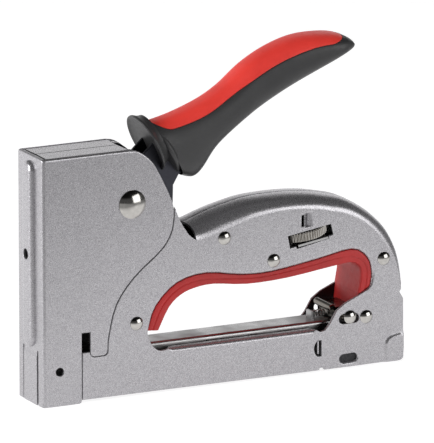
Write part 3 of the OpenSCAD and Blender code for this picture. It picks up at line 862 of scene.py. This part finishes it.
CHEEK_IN = 4.6
CHEEK_T = 1.5
LIFT_EYE = 3.2
lever_outline = [[lift_pin[0] + 0.4, lift_pin[1] + LIFT_EYE], [40, 98.5], [50, 106], [58.6, 114], [75, 118],
                 [100, 128], [103, 121], [84, 107], [76, 100], [70.3, 97.6], [67.6, 93], [67.4, 84],
                 [64.5, 77.3], [58, 75], [48, 77.5], [40, 79.2], [lift_pin[0] + 1.2, lift_pin[1] - 3]]
lever_outline += on_circle(lift_pin, LIFT_EYE, (255, 220, 180, 140, 105))


def cheek_side(side, out):
    """Puts a plate along the body, its outer face at a distance from the centre plane."""
    return lambda x, z, depth: place(x, side * (out - depth), z)


def lever_steel():
    """Two cheeks, the web that shows below the guard, and the web on top inside the grip."""
    shape = Shape()
    half = CHEEK_IN + CHEEK_T
    for side in (-1, 1):
        rim = edges(lever_outline[::-1], 0.35, CHEEK_T)
        bore = edges(ring(pivot, 5.05), 0.2, CHEEK_T)
        shape.take(plate(cheek_side(side, half), rim, [bore], t=CHEEK_T))
    path = smooth([[69.6, 97.3], [68.5, 95.6], [67.5, 93], [67.2, 89], [67.2, 84.4]], 4)
    bend = [(0.1, half - 1), (-0.2, half - 0.45), (-0.9, half - 0.1), (-1.4, half - 0.1)]
    section = [(dx, -y) for dx, y in bend] + bend[::-1] + [(0.15, 0)]
    shape.loft([[place(x + dx, y, z) for dx, y in section] for x, z in path])
    top = [[75.4, 116.8], [100.4, 126.8], [100, 128], [75, 118]]
    slab(shape, top, (-CHEEK_IN - 0.1, CHEEK_IN + 0.1))
    piece(shape, "lever_steel", [dark_steel], "lever")


handle_top = smooth([[57.5, 121.4], [70.4, 124.4], [84.1, 129.1], [94.5, 134.8], [105.7, 143.6],
                     [118.6, 150.2], [132.5, 153.8], [147.9, 153.5], [155.8, 151], [159.2, 147.8]], 6)
handle_split = smooth([[59.7, 119.2], [68.3, 119.7], [83.8, 124.6], [101.1, 134.9], [118.3, 143.9],
                       [135.6, 149.2], [149.4, 150.4], [152.6, 151.8]], 6)
handle_under = smooth([[72.6, 96.4], [78.1, 95.2], [82.6, 98.6], [90.2, 108.8], [106.6, 120.8],
                       [123.8, 130.3], [141.1, 138.3], [155.8, 145.3], [158.6, 146.6]], 6)
STATIONS = 64
GRIP_END = 0.99  # share of the handle's curves that the grip covers
GRIP_WIDE = 11.2
GRIP_WAIST = 0.9
# Where the pad starts and ends, and how long its rounded corners are, as shares of the grip.
PAD_ENDS = (0.012, 0.945)
FRONT_CORNER = 0.05
REAR_CORNER = 0.09
# Powers that square the section: below, on top, and across the width.
POWER_UNDER = 2 / 3
POWER_TOP = 2 / 2.35
POWER_WIDE = 2 / 2.7


def grip_station(t):
    """Centre, half height, half width and upward direction of the grip's section at a share of its length."""
    top, low = (point_at(curve, GRIP_END * t) for curve in (handle_top, handle_under))
    up = Vector((top[0] - low[0], top[1] - low[1]))
    half = up.length / 2
    wide = GRIP_WIDE - GRIP_WAIST * ease(t / 0.5) * (1 - ease((t - 0.5) / 0.4)) + 0.2 * t
    tip = min(max((t - 0.86) / 0.14, 0), 1)
    wide *= math.sqrt(1 - 0.72 * tip ** 2.4)
    return Vector(((top[0] + low[0]) / 2, (top[1] + low[1]) / 2)), half, wide, up.normalized()


def split_share(t):
    """How far up the section the parting line between core and pad lies, from 0 below to 1 at the top."""
    centre, half, _, up = grip_station(t)
    spot = handle_split[0] if t < 0.5 else handle_split[-1]
    for a, b in zip(handle_split, handle_split[1:]):
        da, db = ((p[0] - centre.x) * up.y - (p[1] - centre.y) * up.x for p in (a, b))
        if (da <= 0) != (db <= 0):
            spot = mix(a, b, da / (da - db))
    height = (spot[0] - centre.x) * up.x + (spot[1] - centre.y) * up.y
    return min(max(height / (2 * half) + 0.5, 0.3), 0.97)


def grip_point(t, turn, out):
    """A point of the grip's skin: turn is -90 below, 90 on top, out is the distance off the plain surface."""
    centre, half, wide, up = grip_station(t)
    s, c = math.sin(math.radians(turn)), math.cos(math.radians(turn))
    power = POWER_UNDER if turn < 0 else POWER_TOP
    v = math.copysign(abs(s) ** power, s) * (half + out)
    y = max(c, 0) ** POWER_WIDE * (wide + out)
    return place(centre.x + up.x * v, -y, centre.y + up.y * v)


def turn_at(share):
    """The section angle whose height is the given share."""
    s = 2 * share - 1
    power = POWER_UNDER if s < 0 else POWER_TOP
    return math.degrees(math.asin(math.copysign(min(abs(s), 1) ** (1 / power), s)))


def grip_shares():
    """The stations along the grip, closer together at the pad's corners and at the tip."""
    first, last = PAD_ENDS[0] + FRONT_CORNER, PAD_ENDS[1] - REAR_CORNER
    out = [0, 0.006]
    out += [PAD_ENDS[0] + FRONT_CORNER * (1 - math.cos(math.pi / 2 * k / 8)) for k in range(9)]
    out += [first + (last - first) * k / STATIONS for k in range(1, STATIONS)]
    out += [PAD_ENDS[1] - REAR_CORNER * math.cos(math.pi / 2 * k / 9) for k in range(10)]
    return out + [0.958, 0.97, 0.98, 0.988, 0.994, 1]


def pad_turn(t):
    """Angle of the parting line at a station; it climbs to the top in a rounded corner at both ends."""
    a, b = PAD_ENDS
    if t <= a or t >= b:
        return 90
    share = split_share(t)
    lean = min(max((t - a) / FRONT_CORNER, 0), 1, (b - t) / REAR_CORNER)
    corner = math.sqrt(max(1 - (1 - lean) ** 2, 0))
    return 90 - (90 - turn_at(share)) * corner


def grip():
    """The hard core with the guard, and the soft pad in a step on top, each from a half that is mirrored."""
    core_rows, pad_rows = [], []
    for t in grip_shares():
        split = pad_turn(t)
        turns = [-90 + (split - 3 + 90) * (k / 14) for k in range(15)]
        row = [grip_point(t, a, 0) for a in turns]
        row += [grip_point(t, split - 1.5, -0.15), grip_point(t, split, -0.6)]
        row += [grip_point(t, split + (90 - split) * k / 6, -0.9 if split < 89 else 0) for k in range(1, 7)]
        core_rows.append(row)
        if PAD_ENDS[0] <= t <= PAD_ENDS[1]:
            room = min(90 - split, 2.2)
            offsets = [(split, -0.8), (split + 0.1 * room, -0.3), (split + 0.35 * room, -0.14)]
            offsets += [(split + room + (90 - split - room) * k / 9, -0.09) for k in range(10)]
            pad_rows.append([grip_point(t, a, o) for a, o in offsets])
    half = Shape()
    for a, b in zip(core_rows, core_rows[1:]):
        half.strip(a, b)
    core = Shape()
    core.take(half)
    for row in (core_rows[0], core_rows[-1]):
        core.face(row + [Vector((p.x, -p.y, p.z)) for p in reversed(row[1:-1])])
    core.take(half, mirrored=True)
    guard(core)
    piece(core, "grip_core", [black], "lever", 50)
    half = Shape()
    for a, b in zip(pad_rows, pad_rows[1:]):
        half.strip(a, b)
        half.face([a[0], b[0], Vector((b[0].x, 0, b[0].z)), Vector((a[0].x, 0, a[0].z))])
    pad = Shape()
    pad.take(half)
    pad.take(half, mirrored=True)
    piece(pad, "grip_pad", [red_grip], "lever", 60)


def guard(shape):
    """The oval finger guard: a dished front rim, a neck and a second rim where the grip starts."""
    # Each rim has a middle, a tilt, and a profile of (distance behind the middle, half height, half width).
    front = [(1.6, 3, 3), (1.4, 8, 8.6), (0.9, 11.6, 12.2), (0.4, 12.6, 13.3), (0.05, 13.3, 13.9),
             (0, 13.6, 14.2), (0.15, 13.9, 14.5), (0.55, 14, 14.6), (1, 13.9, 14.4), (1.5, 13.5, 13.9),
             (2.4, 12.8, 12.8), (3.6, 12.2, 12), (4.6, 12, 11.6)]
    collar = [(-0.4, 12.7, 11.6), (-0.1, 13.1, 12.1), (0.4, 13.4, 12.35), (0.9, 13.4, 12.35),
              (1.4, 13.2, 12.2), (2, 12.8, 11.7), (2.6, 12.1, 11), (2.7, 4, 3)]
    turns = [2 * math.pi * k / 72 for k in range(72)]
    rings = []
    for middle, tilt, profile in (((56.6, 111.9), 24.6, front), ((63.9, 108.9), 29.4, collar)):
        tilt = math.radians(tilt)
        back = Vector((math.cos(tilt), math.sin(tilt)))
        up = Vector((-math.sin(tilt), math.cos(tilt)))
        for deep, tall, wide in profile:
            centre = Vector(middle) + back * deep
            rings.append([place(centre.x + up.x * tall * math.cos(a), wide * math.sin(a),
                                centre.y + up.y * tall * math.cos(a)) for a in turns])
    shape.loft(rings)


# ---- Power wheel ----

def power_wheel():
    """The knurled wheel about its leaning axis, with a bore."""
    knurls, bore, web, rim, half = 60, 2.5, 9, 13.4, 2.3
    tooth = [0, 0, 0.4, 0.85, 0.85, 0.4]
    levels = [(-half, 1.1), (-2, 0.45), (-1.7, 0), (1.7, 0), (2, 0.45), (half, 1.1)]
    n = knurls * len(tooth)
    lean = Vector((-math.sin(wheel_tilt), 0, math.cos(wheel_tilt)))
    across = Vector((math.cos(wheel_tilt), 0, math.sin(wheel_tilt)))
    hub = place(wheel_spot[0], 0, wheel_spot[1])

    def turned(radii, h):
        out = []
        for k, r in enumerate(radii):
            a = 2 * math.pi * k / n
            out.append(hub + (across * r * math.cos(a) + Vector((0, 1, 0)) * r * math.sin(a) + lean * h) * MM)
        return out

    shape = Shape()
    rings = [turned([bore] * n, -half), turned([web] * n, -half)]
    for h, cut in levels:
        rings.append(turned([rim - max(cut, tooth[k % len(tooth)]) for k in range(n)], h))
    rings += [turned([web] * n, half), turned([bore] * n, half)]
    shape.loft(rings + rings[:1], ends=False)
    piece(shape, "power_wheel", [nickel], "wheel", 30)


# ---- Latch ----

def latch_plate():
    """A top and two cheeks round the pin, a rolled front edge, a lip below it and a foot."""
    half, top, rear = 8, 28.1, 157
    shape = Shape()
    rim = edges(rectangle(146.6, -half, rear, half), 0.3)
    shape.take(plate(lambda x, y, depth: place(x, y, top - depth), rim))
    for side in (-1, 1):
        rim = edges(rectangle(147, 22.45, rear, 28), 0.3)
        shape.take(plate(cheek_side(side, half), rim, [edges(ring(latch_spot, 1.5), 0.1)]))
    ends = [(half, 1.3), (half - 0.2, 1.55), (half - 0.8, 1.7)]
    roll = []
    for y, r in [(-y, r) for y, r in ends] + ends[::-1]:
        roll.append([place(x, y, z) for x, z in on_circle([146.4, 27.7], r, range(0, 360, 15))])
    shape.loft(roll)
    slab(shape, rectangle(147, 23.2, 148.2, 27.5), (-half, 0.2 - half, half - 0.2, half))
    slab(shape, rectangle(155.3, 21.3, 156.5, 27), (-2.6, 2.6))
    piece(shape, "latch_plate", [latch_steel], "latch")


# ---- Springs ----

COIL_STEPS = 18


def helix(name, start, way, r, wire, turns, long, body="body", far=None):
    """A coil spring about an axis through start. When it sits between its own body and a far one, it goes on
    no body and stays where it is made.
    """
    way = Vector(way)
    side = way.orthogonal().normalized()
    other = way.cross(side)
    n = int(turns * COIL_STEPS)
    points = []
    for i in range(n + 1):
        a = 2 * math.pi * i / COIL_STEPS
        points.append(start + (side * math.cos(a) * r + other * math.sin(a) * r + way * (long * i / n)) * MM)
    shape = Shape()
    shape.loft(tube(points, wire / 2))
    if not far:
        piece(shape, name, [spring_steel], body, 60)
        return
    made = shape.object(name + "_skin", [spring_steel], 60)
    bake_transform(made)
    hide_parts(name)


def springs():
    helix("latch_spring", place(140, 0, 24.3), (1, 0, 0), r=1.3, wire=0.6, turns=4.75, long=6.4,
          body="body", far="latch")
    helix("lever_return_spring", place(pivot[0], 3.6, pivot[1]), (0, -1, 0), r=6.2, wire=1.2, turns=4.75,
          long=7.1)
    rod = (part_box("pusher_rod")[0].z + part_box("pusher_rod")[1].z) / 2 / MM
    helix("pusher_spring", place(25.6, 0, rod), (1, 0, 0), r=2.6, wire=0.8, turns=24, long=145.4,
          body="pusher", far="magazine")


# ---- Inner parts that keep their CAD shape ----

def inner_parts():
    """Bevels the steel parts inside and gives each its finish from the record."""
    for row in frame["record"]["subparts"]:
        node = frame["nodes"][row["node"]]
        if node.hide_render:
            continue
        node.data.materials.clear()
        node.data.materials.append(slot_finishes.get(row["material_slot"], bright))
        bevel = node.modifiers.new("edges", "BEVEL")
        bevel.width = 0.00015
        bevel.segments = 2
        bevel.angle_limit = math.radians(50)


# ---- Studio ----

WORLD_FRONT = 0.1
WORLD_BACK = 1.1
WORLD_TOP = 0.07
KEY = 15
TOP_FILL = 14
FRONT_LIGHT = 34
FLOOR_GLOW = 0.88
FLOOR_HALF = 4.0  # metres


def area(name, spot, target, wide, high, power):
    """A rectangular light at a spot, turned to a target."""
    data = bpy.data.lights.new(name, "AREA")
    data.energy = power
    data.shape = "RECTANGLE"
    data.size = wide
    data.size_y = high
    light = bpy.data.objects.new(name, data)
    light.location = spot
    light.rotation_euler = (Vector(target) - Vector(spot)).to_track_quat("-Z", "Y").to_euler()
    bpy.context.scene.collection.objects.link(light)
    return light


def floor_material():
    """Matt grey paper that glows nearly white, and less on the near side and past the rear end."""
    made, where, add, shade = material("studio_floor")
    cloud = add("TexNoise", {"Vector": where, "Scale": 3, "Detail": 2})
    paper = ramp(add, cloud.outputs["Fac"], (0.33, 0.33, 0.333), (0.35, 0.35, 0.353))
    split = add("SeparateXYZ", {0: where})
    front = add("Math", {0: split.outputs["X"], 1: 0.55, 2: split.outputs["Y"]}, operation="MULTIPLY_ADD")
    near = remap(add, front.outputs["Value"], -0.32, -0.12, 0.2, FLOOR_GLOW, soft=True)
    along = add("Math", {0: split.outputs["Y"], 1: -0.5, 2: split.outputs["X"]}, operation="MULTIPLY_ADD")
    right = remap(add, along.outputs["Value"], 0.2, 0.6, 1, 0.15, soft=True)
    glow = add("Math", {0: near, 1: right}, operation="MULTIPLY")
    shade({"Base Color": paper, "Roughness": 0.7, "Specular IOR Level": 0.1,
           "Emission Color": (1, 0.997, 1, 1), "Emission Strength": glow.outputs["Value"]})
    return made


def studio():
    """The floor, a world that is bright behind and dark above, and three lights."""
    mesh = bpy.data.meshes.new("floor")
    corners = [(x, y, 0) for x, y in rectangle(-FLOOR_HALF, -FLOOR_HALF, FLOOR_HALF, FLOOR_HALF)]
    mesh.from_pydata(corners, [], [(0, 1, 2, 3)])
    mesh.materials.append(floor_material())
    floor = bpy.data.objects.new("floor", mesh)
    bpy.context.scene.collection.objects.link(floor)
    world = bpy.data.worlds.new("studio")
    bpy.context.scene.world = world
    world.use_nodes = True
    add, fit = node_tools(world.node_tree)
    split = add("SeparateXYZ", {0: add("TexCoord", {}).outputs["Generated"]})
    behind = remap(add, split.outputs["Y"], 0.4, 0.75, WORLD_FRONT, WORLD_BACK, soft=True)
    above = remap(add, split.outputs["Z"], 0.26, 0.46, 1, WORLD_TOP, soft=True)
    product = add("Math", {0: behind, 1: above}, operation="MULTIPLY")
    fit(world.node_tree.nodes["Background"], {"Strength": product.outputs[0], "Color": (1, 0.995, 1, 1)})
    area("key_softbox", (1.3, -1.6, 0.6), (0, 0, 0.07), 1.6, 1.2, KEY)
    fill_light = area("top_fill", (-0.4, -1.0, 1.8), (0, 0, 0.1), 1.4, 1.4, TOP_FILL)
    fill_light.visible_glossy = False
    area("front_softbox", (-2.2, 0.3, 0.7), (0, 0, 0.07), 1.0, 1.2, FRONT_LIGHT)
    view = bpy.context.scene.view_settings
    view.view_transform = "Standard"
    view.look = "None"


def camera():
    """A long lens at the object's front quarter, 26.5 degrees off the side and 14 degrees up."""
    data = bpy.data.cameras.new("camera")
    data.lens = 700
    data.sensor_width = 36
    data.clip_end = 50
    made = bpy.data.objects.new("camera", data)
    around, up = math.radians(-26.5), math.radians(14)
    back = Vector((math.sin(around) * math.cos(up), -math.cos(around) * math.cos(up), math.sin(up)))
    target = place(92.3, 0, 72.2)
    distance = 3.845
    made.location = target + back * distance
    made.rotation_euler = back.to_track_quat("Z", "Y").to_euler()
    bpy.context.scene.collection.objects.link(made)
    bpy.context.scene.camera = made


camera()
studio()
shells()
nose_cover()
grip_liner()
magazine_channel()
rivets()
lever_steel()
grip()
power_wheel()
latch_plate()
springs()
inner_parts()
